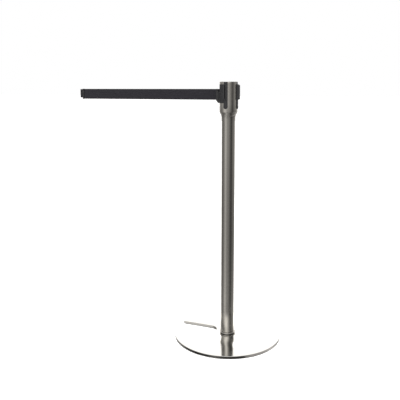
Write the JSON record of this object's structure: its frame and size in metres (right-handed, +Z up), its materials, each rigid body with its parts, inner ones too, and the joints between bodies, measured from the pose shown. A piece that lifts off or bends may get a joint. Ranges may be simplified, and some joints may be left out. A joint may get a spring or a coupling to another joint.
{
  "type": "retractable belt stanchion",
  "caption": "Free-standing queue post with a flat slotted round base, a steel post and a slotted head whose sprung cassette lets a black belt be pulled out sideways.",
  "frame": {"origin": "on the floor, on the post's axis", "axes": "+Z up along the post; the belt is pulled out towards -X, over the stacking slot in the base; receivers face +X, +Y and -Y"},
  "size_m": [0.8546, 0.408, 0.989],
  "materials": {
    "polished_steel": "mirror-polished stainless steel",
    "satin_steel": "satin-ground stainless steel tube",
    "rubber": "matt moulded rubber",
    "zinc_steel": "zinc-plated steel",
    "plug_aluminium": "turned aluminium",
    "black_moulding": "fine-grained black nylon moulding",
    "black_screws": "black-oxide steel fasteners",
    "acetal": "natural white acetal",
    "spring_steel": "blued spring steel strip",
    "bronze": "sintered bronze",
    "felt": "pressed wool felt",
    "webbing": "woven black polyester webbing"
  },
  "bodies": {
    "stand": {"base_plate": "polished_steel", "base_pad": "rubber", "base_bolt": "zinc_steel", "bolt_washer": "zinc_steel", "foot_plug": "zinc_steel", "foot_collar": "satin_steel", "post_tube": "satin_steel", "neck_plug": "plug_aluminium", "neck_set_screws": "black_screws", "head_shell": "satin_steel", "shell_grub_screws": "black_screws", "cassette_body": "black_moulding", "cassette_floor_screws": "black_screws", "cassette_cap": "black_moulding", "cap_screws": "black_screws", "receiver_right": "black_moulding", "receiver_back": "black_moulding", "receiver_front": "black_moulding", "outlet_frame": "black_moulding", "outlet_shoe": "black_moulding", "shoe_rivets": "black_screws", "guide_pins": "zinc_steel", "spindle": "zinc_steel", "spindle_screw": "black_screws", "spindle_clip": "spring_steel", "thrust_washer": "acetal", "spring_cup": "zinc_steel", "spring_lid": "zinc_steel", "power_spring": "spring_steel", "brake_felt": "felt", "belt_lead": "webbing", "belt_web": "webbing"},
    "reel": {"reel_core": "black_moulding", "reel_bush_lower": "bronze", "reel_bush_upper": "bronze", "reel_flange_lower": "black_moulding", "reel_flange_upper": "black_moulding", "belt_anchor_pin": "zinc_steel", "belt_roll": "webbing", "brake_plate": "zinc_steel", "wave_washer": "spring_steel"},
    "roller_front": {"guide_roller_front": "acetal"},
    "roller_back": {"guide_roller_back": "acetal"},
    "belt_end": {"belt_clip_front": "black_moulding", "belt_clip_back": "black_moulding", "clip_rivets": "black_screws", "belt_end_bar": "black_moulding"}
  },
  "joints": [
    {"name": "belt_pull", "type": "slide", "parent": "stand", "child": "belt_end", "axis": [-1, 0, 0], "range_m": [-0.585, 1.404], "stiffness_N_per_m": 2, "springref_m": -3, "deforming": ["belt_web", "belt_lead"]},
    {"name": "reel_spin", "type": "hinge", "parent": "stand", "child": "reel", "pos_m": [0, 0, 0.9415], "axis": [0, 0, 1], "range_deg": [-4600, 1960], "deforming": ["power_spring"]},
    {"name": "roller_front_spin", "type": "hinge", "parent": "stand", "child": "roller_front", "pos_m": [-0.029, -0.0034, 0.9415], "axis": [0, 0, 1], "range_deg": [-12000, 28000]},
    {"name": "roller_back_spin", "type": "hinge", "parent": "stand", "child": "roller_back", "pos_m": [-0.029, 0.0034, 0.9415], "axis": [0, 0, 1], "range_deg": [-28000, 12000]}
  ],
  "couplings": [
    {"joint": "reel_spin", "follows": "belt_pull", "rad_per_m": -57},
    {"joint": "roller_front_spin", "follows": "belt_pull", "rad_per_m": 333},
    {"joint": "roller_back_spin", "follows": "belt_pull", "rad_per_m": -333}
  ]
}
